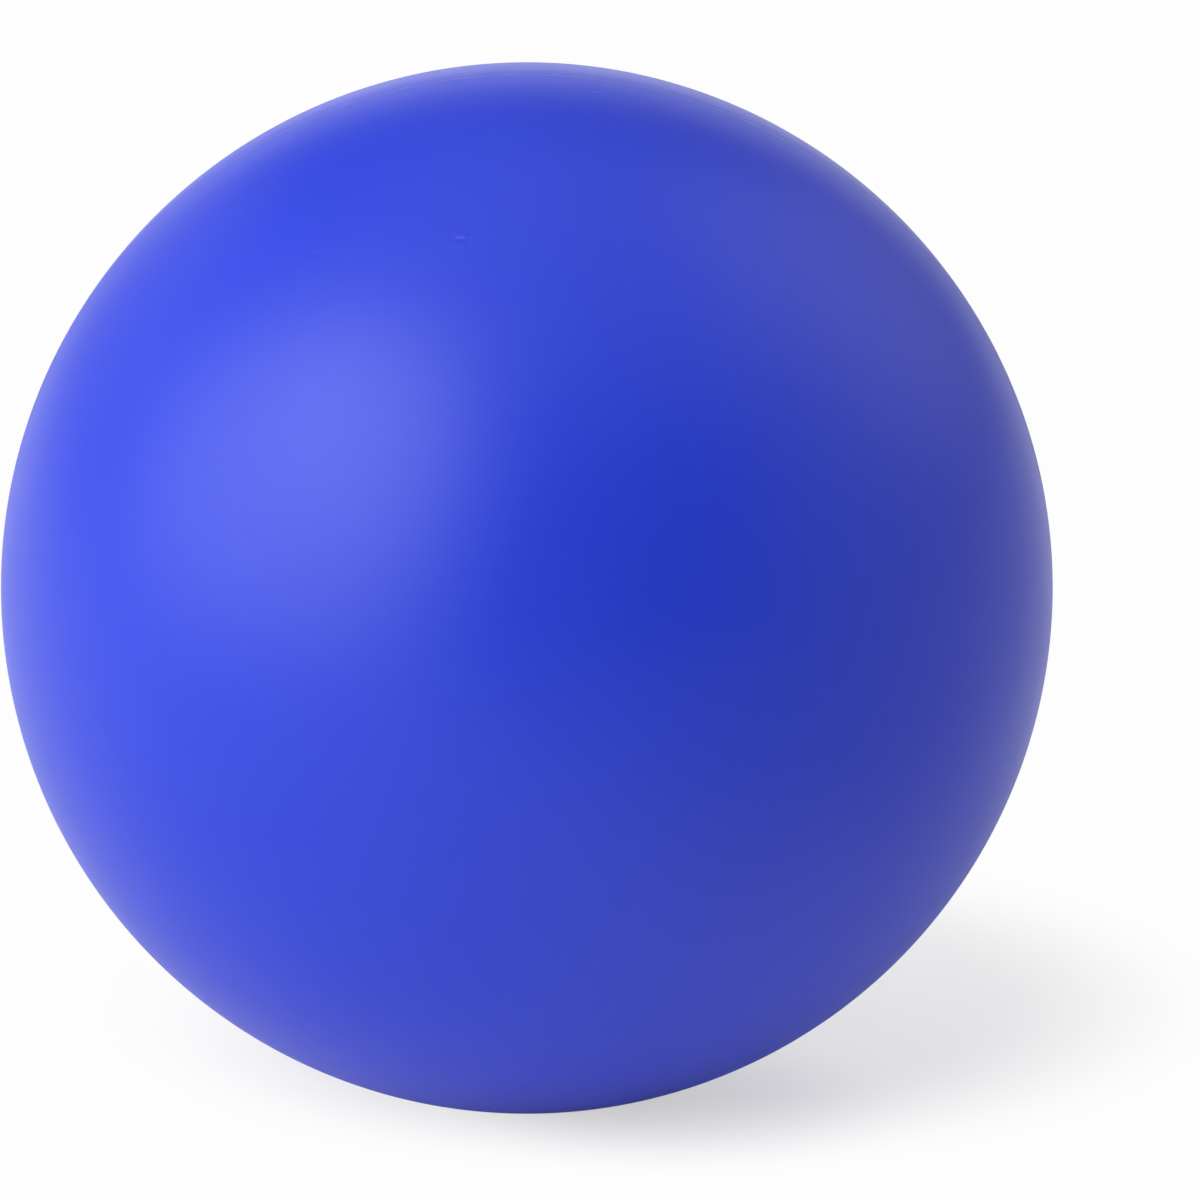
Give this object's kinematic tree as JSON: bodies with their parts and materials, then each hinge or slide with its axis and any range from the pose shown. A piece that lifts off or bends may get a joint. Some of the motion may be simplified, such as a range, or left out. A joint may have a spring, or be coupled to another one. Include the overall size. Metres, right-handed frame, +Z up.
{
  "type": "racquetball",
  "caption": "Hollow rubber racquetball with a satin blue surface, moulded as half-shells that are cemented rim to rim for court play.",
  "frame": {"origin": "centre of the ball", "axes": "+Z up; +Y out through the crown of the rear half-shell, so the seam lies in the plane of X and Z and the front half-shell is on the -Y side; +X to the right of someone who faces the front half"},
  "size_m": [0.0572, 0.0572, 0.0572],
  "materials": {
    "shell_rubber": "satin, moulded and tumbled smooth",
    "seam_cement": "satin, buffed flush with the rubber"
  },
  "bodies": {
    "root": {"front_half_shell": "shell_rubber", "rear_half_shell": "shell_rubber", "seam_cement": "seam_cement"}
  },
  "joints": []
}
